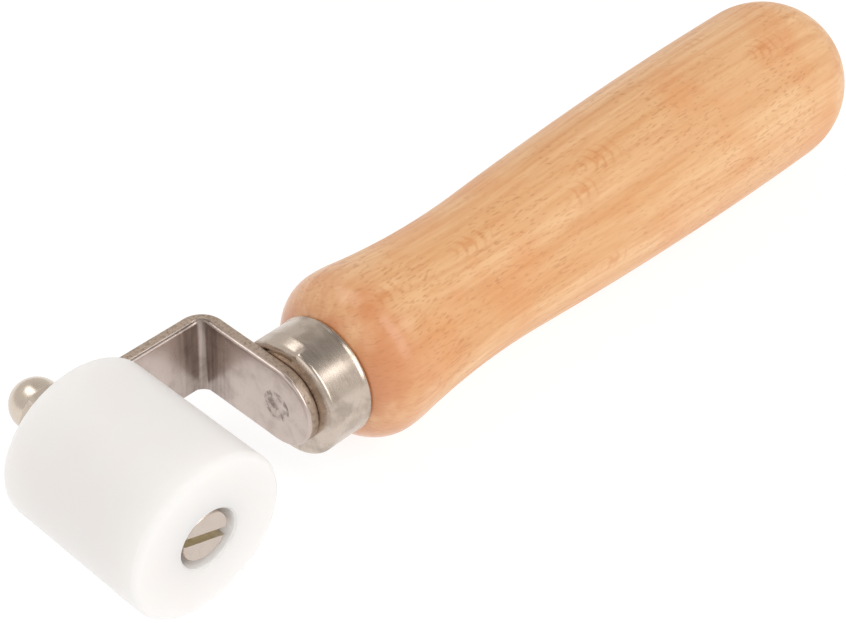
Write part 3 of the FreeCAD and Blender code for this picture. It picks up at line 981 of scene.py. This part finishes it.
@dataclass
class Arm:
    """The bent steel strip from the tang to the axle, with its two holes."""

    lathe: Lathe
    place: Matrix
    width: float = 15.4
    thick: float = 2.5
    offset: float = 18.0
    bend_inner: float = 1.3
    bend_outer: float = 4.8
    roller_reach: float = 30.4
    axle_dia: float = 6.0
    axle_hole_play: float = 0.1
    spigot_dia: float = 5.2
    peen_bevel: float = 0.35
    face_ease: float = 0.55
    back_ease: float = 0.4
    burr: float = 0.09
    bulge: float = 0.5
    bend_steps: int = 18
    leg_steps: int = 14
    end_steps: int = 18
    flat_rows: tuple[float, ...] = (0.0, 0.4, 0.7)
    bulge_spread: float = 2.2
    bulge_edge: int = 6
    bulge_bias: float = 0.75

    def build(self) -> None:
        """Sweep the strip round its bend, bore it and fit it."""
        # Rolled face: a calm warm grey with long faint lines, streaked beside the bend.
        face = NickelledSteel("rolled_nickelled_steel", bright="C8B9B1", dull="7E6F66",
                              lines=(2.2, 2.2, 0.12), gloss=(0.26, 0.36), depth=0.008,
                              stain_size=3.2, stain=0.3,
                              worked=(-3.8, 16.7, 8.0, 0.75))
        # Sheared edge: torn and speckled brown. Its grain is drawn coarser than in life.
        edge = NickelledSteel("sheared_nickelled_steel", bright="C6B3A3", dull="7C6B5D",
                              lines=(2.4, 2.4, 2.4), gloss=(0.34, 0.5), depth=0.12,
                              stain_size=0.6, stain=0.7, stain_edge=(0.42, 0.75))
        mesh = self._sweep()
        for finish in (face, edge):
            mesh.materials.append(finish.make(self.place))
        for tool in self._bores():
            mesh = carve(mesh, tool)
        fit("arm_bracket", mesh, self.place, Body.FRAME, crease=32.0)

    def _section(self) -> list[tuple[float, float, bool]]:
        """Return the strip's edge from its inner face to its outer one.

        Returns:
            For each point its depth below the inner face, its distance from the strip's
            spine, and whether the shears left it rough.
        """
        half = self.width / 2
        points = [(0.0, half * row, False) for row in self.flat_rows]
        for i in range(7):
            turn = math.radians(90 * i / 6)
            points.append((self.face_ease * (1 - math.cos(turn)),
                           half - self.face_ease * (1 - math.sin(turn)), False))
        points.append((self.face_ease + self.burr, half - self.burr, False))
        points.append((self.face_ease + 2 * self.burr, half, True))
        for i in range(1, 5):
            wall = self.thick - self.face_ease - 2 * self.burr - self.back_ease
            points.append((self.face_ease + 2 * self.burr + wall * i / 4, half, True))
        for i in range(1, 4):
            turn = math.radians(90 * i / 3)
            points.append((self.thick - self.back_ease * (1 - math.sin(turn)),
                           half - self.back_ease * (1 - math.cos(turn)), i == 1))
        points += [(self.thick, half * row, False)
                   for row in (self.flat_rows[-1], self.flat_rows[0])]
        return points

    def _loop(self) -> list[tuple[float, float, float]]:
        """Return the strip's outline as a walk round its spine.

        Returns:
            For each step the place along the spine and the outward direction there, as
            its part along the strip and its part across.
        """
        out = [i / self.leg_steps for i in range(self.leg_steps)]
        out += [1 + i / self.bend_steps for i in range(self.bend_steps)]
        out += [2 + i / self.leg_steps for i in range(self.leg_steps)]
        walk = [(s, 0.0, 1.0) for s in out]
        for i in range(self.end_steps):
            turn = math.pi * i / self.end_steps
            walk.append((3.0, math.sin(turn), math.cos(turn)))
        walk += [(s, 0.0, -1.0) for s in [3.0, *reversed(out)][:-1]]
        for i in range(self.end_steps):
            turn = math.pi * i / self.end_steps
            walk.append((0.0, -math.sin(turn), -math.cos(turn)))
        return walk

    def _at(self, spine: float, past: float, across: float, depth: float) -> Vector:
        """Return a point of the strip.

        Args:
            spine: 0 to 1 on the tang's leg, 1 to 2 round the bend, 2 to 3 on the axle's.
            past: how far past the spine's end the point lies.
            across: how far from the spine it lies.
            depth: how far below the inner face it lies.

        Returns:
            The point in the tool's axes.
        """
        share = depth / self.thick
        turn = math.radians(90) * min(max(spine - 1, 0.0), 1.0)
        inner_x, inner_y = -self.thick - self.bend_inner, self.offset - self.bend_inner
        outer_y = self.offset + self.thick - self.bend_outer
        start = Vector((-self.thick + depth, inner_y + (outer_y - inner_y) * share, 0.0))
        inner = Vector((inner_x + self.bend_inner * math.cos(turn),
                        inner_y + self.bend_inner * math.sin(turn), 0.0))
        outer = Vector((-self.bend_outer + self.bend_outer * math.cos(turn),
                        outer_y + self.bend_outer * math.sin(turn), 0.0))
        spot = inner.lerp(outer, share)
        if spine < 1:
            spot = Vector((start.x, start.y * spine + past, 0.0))
        elif spine > 2:
            far = -self.roller_reach - past
            spot = Vector((spot.x + (far - spot.x) * (spine - 2), spot.y, 0.0))
        squeeze = math.exp(-((spine - 1.5) * self.bulge_spread) ** 4)
        edge = (abs(across) / (self.width / 2)) ** self.bulge_edge
        swell = self.bulge * squeeze * edge * (self.bulge_bias - share)
        spot.z = across + math.copysign(swell, across)
        return spot

    def _sweep(self) -> Mesh:
        """Return the whole strip as one closed mesh, with its rough edge marked."""
        section, loop = self._section(), self._loop()
        form = bmesh.new()
        rings = []
        for spine, along, across in loop:
            rings.append([form.verts.new(self._at(spine, along * reach, across * reach, depth))
                          for depth, reach, _ in section])
        for i, ring in enumerate(rings):
            after = rings[(i + 1) % len(rings)]
            for j in range(len(section) - 1):
                quad = (ring[j], ring[j + 1], after[j + 1], after[j])
                face = form.faces.new(quad)
                face.material_index = int(section[j][2] and section[j + 1][2])
        return settle(form, bpy.data.meshes.new("strip"))

    def _bores(self) -> list[Mesh]:
        """Return the two tools that bore the strip: one for the tang, one for the axle."""
        spigot, bevel, spare = self.spigot_dia / 2, self.peen_bevel, 1.0
        sink = Outline().to(-self.thick - spare, 0.0)
        sink.to(-self.thick - spare, spigot + bevel + spare)
        sink.to(bevel - self.thick, spigot).to(spare, spigot).to(spare, 0.0)
        axle = self.axle_dia / 2 + self.axle_hole_play
        bore = Outline().to(self.offset - spare, 0.0).to(self.offset - spare, axle)
        bore.to(self.offset + self.thick + spare, axle)
        bore.to(self.offset + self.thick + spare, 0.0)
        tang_tool = self.lathe.turn(sink, None, segments=64)
        axle_tool = self.lathe.turn(bore, None, segments=64)
        axle_tool.transform(Matrix.Translation((-self.roller_reach, 0.0, 0.0))
                            @ Matrix.Rotation(math.pi / 2, 4, "Z"))
        return [tang_tool, axle_tool]


@dataclass
class Axle:
    """The axle screw, its cap nut and the sleeve and washers clamped between them."""

    lathe: Lathe
    lie: Lie
    axle_dia: float = 6.0
    head_dia: float = 9.0
    head_top: float = -13.5
    head_under: float = -9.9
    head_ease: float = 0.35
    slot_wide: float = 1.6
    slot_deep: float = 1.6
    slot_turn: float = 21.0
    screw_end: float = 27.5
    screw_tip: float = 0.7
    sleeve_near: float = -9.1
    sleeve_far: float = 17.4
    sleeve_bore: float = 3.1
    sleeve_outer: float = 4.0
    washer_bore: float = 3.2
    head_washer_outer: float = 5.0
    arm_washer_outer: float = 6.0
    arm_face: float = 18.0
    nut_face: float = 20.5
    nut_flats: float = 10.0
    nut_hex_high: float = 5.0
    nut_bevel: float = 0.45
    dome_radius: float = 4.6
    dome_start: float = 7.1
    nut_bore: float = 3.02
    nut_bore_deep: float = 8.0
    nut_bore_tip: float = 1.6
    nut_fillet: float = 0.15
    edge_ease: float = 0.12

    def build(self) -> None:
        """Make the five pieces."""
        place = self.lie.axle()
        self._screw()
        self._nut(place)
        # Stamped washers: bright grey, brushed across. The sleeve: plain turned grey.
        washer = NickelledSteel("stamped_nickelled_steel", lines=(0.4, 3.0, 3.0))
        sleeve = NickelledSteel("turned_mild_steel", bright="B9B0A8", dull="7D736B",
                                lines=(5.0, 0.2, 0.2), gloss=(0.25, 0.4))
        stack = (
            ("head_washer", self.head_under, self.sleeve_near, self.washer_bore,
             self.head_washer_outer, washer, "screw_steel"),
            ("axle_sleeve", self.sleeve_near, self.sleeve_far, self.sleeve_bore,
             self.sleeve_outer, sleeve, "tang_steel"),
            ("arm_washer", self.sleeve_far, self.arm_face, self.washer_bore,
             self.arm_washer_outer, washer, "screw_steel"),
        )
        for name, near, far, bore, outer, finish, slot in stack:
            line = tube(near, far, bore, outer, self.edge_ease)
            mesh = self.lathe.turn(line, finish.make(place), segments=96)
            fit(name, mesh, place, Body.FRAME)

    def _screw(self) -> None:
        """Turn the screw with its cheese head and saw the slot."""
        place = self.lie.axle(self.slot_turn)
        head, shank, ease = self.head_dia / 2, self.axle_dia / 2, self.head_ease
        line = Outline(fineness=15).to(self.head_top, 0.0).to(self.head_top, head - ease, 6)
        line.arc(self.head_top + ease, head, ease, Side.RIGHT, 5)
        line.to(self.head_under, head).to(self.head_under, shank)
        line.to(self.screw_end - self.screw_tip, shank)
        line.to(self.screw_end, shank - self.screw_tip).to(self.screw_end, 0.0)
        # Turned head: bright, smooth and a little pink. The slot's sawn floor: tan, rough.
        turned = NickelledSteel("turned_nickelled_screw", bright="CBBDB2", dull="A3968A",
                                lines=(0.3, 2.2, 2.2), gloss=(0.18, 0.3), stain=0.25)
        sawn = NickelledSteel("sawn_slot_steel", bright="DDD3BE", dull="B3A78F",
                              lines=(2.5, 0.2, 2.5), gloss=(0.35, 0.5), depth=0.08,
                              stain_size=1.2, stain=0.7)
        mesh = self.lathe.turn(line, turned.make(place), segments=128)
        half = self.slot_wide / 2
        saw = block(Vector((self.head_top - 1, -head - 1, -half)),
                    Vector((self.head_top + self.slot_deep, head + 1, half)))
        saw.materials.append(sawn.make(place))
        mesh = carve(mesh, saw)
        fit("axle_screw", mesh, place, Body.FRAME)

    def _nut(self, place: Matrix) -> None:
        """Turn the cap nut: six flats, a neck and a dome over a blind bore."""
        corner = self.nut_flats / math.sqrt(3)
        face, top = self.nut_face, self.nut_face + self.nut_hex_high
        slope = self.nut_bevel / (corner + self.nut_bevel - self.nut_flats / 2)
        flat = self.nut_flats / 2 - self.nut_bevel
        rise = slope * (corner - flat)
        line = Outline().to(face + self.nut_bore_deep + self.nut_bore_tip, 0.0)
        line.to(face + self.nut_bore_deep, self.nut_bore).to(face, self.nut_bore)
        line.to(face, flat, 2).to(face + rise, corner, 5).to(top - rise, corner, 3)
        fillet = self.nut_fillet
        line.to(top, self.nut_flats / 2, 5).to(top, self.dome_radius + fillet)
        line.arc(top + fillet, self.dome_radius, fillet, Side.LEFT, 3)
        line.to(face + self.dome_start, self.dome_radius, 2)
        line.arc(face + self.dome_start + self.dome_radius, 0.0, self.dome_radius,
                 Side.RIGHT, 20)
        # Polished nickel: the brightest metal, which mirrors the room softly.
        finish = NickelledSteel("polished_nickel", bright="D8CBBD", dull="A09080",
                                lines=(3.0, 0.3, 0.3), gloss=(0.2, 0.3), depth=0.008,
                                stain=0.3)
        mesh = self.lathe.turn(line, finish.make(place), segments=96, facets=6,
                               flats=self.nut_flats)
        fit("cap_nut", mesh, place, Body.FRAME)


@dataclass
class Roller:
    """The soft tyre and the hub inside it, which turn together on the sleeve.

    The tyre is a hair slimmer than the CAD model's, whose coarser mesh it must stay in.
    """

    lathe: Lathe
    place: Matrix
    near: float = -14.25
    far: float = 17.25
    dia: float = 29.99
    edge: float = 1.2
    mouth: float = 0.3
    hub_near: float = -8.95
    hub_bore: float = 4.06
    hub_outer: float = 5.5
    hub_ease: float = 0.15

    def build(self) -> None:
        """Make the tyre and the hub."""
        outer, bore = self.dia / 2, self.hub_outer
        line = Outline(fineness=7.5).to(self.near, bore + self.mouth)
        line.to(self.near, outer - self.edge, 8)
        line.arc(self.near + self.edge, outer, self.edge, Side.RIGHT)
        line.to(self.far - self.edge, outer, 24)
        line.arc(self.far, outer - self.edge, self.edge, Side.RIGHT)
        line.to(self.far, bore + self.mouth, 8)
        line.arc(self.far - self.mouth, bore, self.mouth, Side.LEFT, 4)
        line.to(self.near + self.mouth, bore, 24)
        line.arc(self.near, bore + self.mouth, self.mouth, Side.LEFT, 4)
        # Silicone: matt, milky white, with soft edges where light comes through.
        rubber = Moulding("moulded_white_silicone")
        mesh = self.lathe.turn(line, rubber.make(self.place), segments=192)
        fit("roller_tyre", mesh, self.place, Body.ROLLER)
        # Nylon: a creamier, glossier white, hidden in the tyre but for its end.
        nylon = Moulding("turned_white_nylon", colour="E6E2DA", shade="D9D3C8",
                         gloss=(0.3, 0.42), sink=0.6)
        line = tube(self.hub_near, self.far, self.hub_bore, self.hub_outer, self.hub_ease)
        mesh = self.lathe.turn(line, nylon.make(self.place), segments=96)
        fit("roller_hub", mesh, self.place, Body.ROLLER)


# ---------------------------------------------------------------------------------- stage


@dataclass
class Studio:
    """A pale floor, soft light from all sides and a camera above the roller's near end."""

    target: tuple[float, float, float] = (-26.4828, -10.7810, 19.9383)
    azimuth: float = 50.7061
    elevation: float = 39.5178
    roll: float = 4.9776
    distance: float = 311.519
    lens: float = 76.212
    floor_size: float = 6.0
    floor_glow: float = 0.85
    sensor: float = 36.0
    sky_low: float = 0.74
    sky_high: float = 0.27
    sky_change: tuple[float, float] = (0.62, 0.9)

    def build(self) -> None:
        """Make the floor, the lights and the camera."""
        self._floor()
        self._sky()
        self._lights()
        self._camera()

    def _floor(self) -> None:
        """Lay a plain pale floor."""
        form = bmesh.new()
        bmesh.ops.create_grid(form, x_segments=4, y_segments=4, size=self.floor_size / 2)
        mesh = bpy.data.meshes.new("floor")
        form.to_mesh(mesh)
        form.free()
        # Lit white paper: it gives off light of its own, so that hardly a shadow shows.
        material, _, _ = shaded(
            "white_paper", Base_Color=linear("808080"), Roughness=0.9, Specular_IOR_Level=0.0,
            Emission_Color=linear("FFFFFF"), Emission_Strength=self.floor_glow)
        mesh.materials.append(material)
        floor = bpy.data.objects.new("floor", mesh)
        bpy.context.scene.collection.objects.link(floor)

    def _sky(self) -> None:
        """Surround the scene with pale light that dims overhead."""
        world = bpy.data.worlds.new("studio")
        bpy.context.scene.world = world
        world.use_nodes = True
        tree = world.node_tree
        tree.nodes.clear()
        way = add(tree, "TexCoord").outputs["Generated"]
        height = add(tree, "SeparateXYZ", (way,)).outputs["Z"]
        power = add(tree, "MapRange",
                    (height, *self.sky_change, self.sky_low, self.sky_high),
                    interpolation_type="SMOOTHSTEP")
        light = add(tree, "Background", {"Color": linear("FFFCF8"), "Strength": power})
        add(tree, "OutputWorld", {"Surface": light})

    def _lights(self) -> None:
        """Hang four soft boxes: to the left, behind, over the near side and to the right."""
        boxes = (
            ("left_box", (-0.85, -0.05, 0.6), (0.7, 0.7), 0.9),
            ("near_box", (0.08, -0.8, 0.78), (0.46, 1.2), 4.8),
            ("side_box", (0.6, -0.6, 0.7), (0.3, 0.3), 0.5),
            ("back_box", (-0.2, 0.5, 0.95), (0.6, 0.6), 2.5),
        )
        aim = Vector(self.target) * MM
        for name, spot, size, power in boxes:
            lamp = bpy.data.lights.new(name, "AREA")
            lamp.shape = "RECTANGLE"
            lamp.size, lamp.size_y = size
            lamp.energy = power
            light = bpy.data.objects.new(name, lamp)
            light.location = spot
            light.rotation_euler = (aim - Vector(spot)).to_track_quat("-Z", "Y").to_euler()
            bpy.context.scene.collection.objects.link(light)

    def _camera(self) -> None:
        """Stand the camera off the target along its line of sight, rolled a little."""
        turn, rise = math.radians(self.azimuth), math.radians(self.elevation)
        lean = math.radians(self.roll)
        look = Vector((math.sin(turn) * math.cos(rise), math.cos(turn) * math.cos(rise),
                       -math.sin(rise)))
        level = look.cross(Vector((0.0, 0.0, 1.0))).normalized()
        plumb = level.cross(look)
        right = level * math.cos(lean) + plumb * math.sin(lean)
        up = plumb * math.cos(lean) - level * math.sin(lean)
        eye = (Vector(self.target) - look * self.distance) * MM
        data = bpy.data.cameras.new("camera")
        data.lens = self.lens
        data.sensor_width = self.sensor
        data.sensor_fit = "HORIZONTAL"
        data.clip_start = 0.01
        data.clip_end = 50.0
        camera = bpy.data.objects.new("camera", data)
        axes = Matrix((right, up, -look)).transposed().to_4x4()
        camera.matrix_world = Matrix.Translation(eye) @ axes
        bpy.context.scene.collection.objects.link(camera)
        bpy.context.scene.camera = camera
        bpy.context.scene.view_settings.view_transform = "Standard"


def main() -> None:
    """Build the tool, piece by piece, and the studio round it."""
    logging.basicConfig(level=logging.INFO, format="%(name)s: %(message)s")
    lathe, lie = Lathe(), Lie()
    Handle(lathe, lie.tool()).build()
    Arm(lathe, lie.tool()).build()
    Axle(lathe, lie).build()
    Roller(lathe, lie.axle()).build()
    Studio().build()


if __name__ == "__main__":
    main()
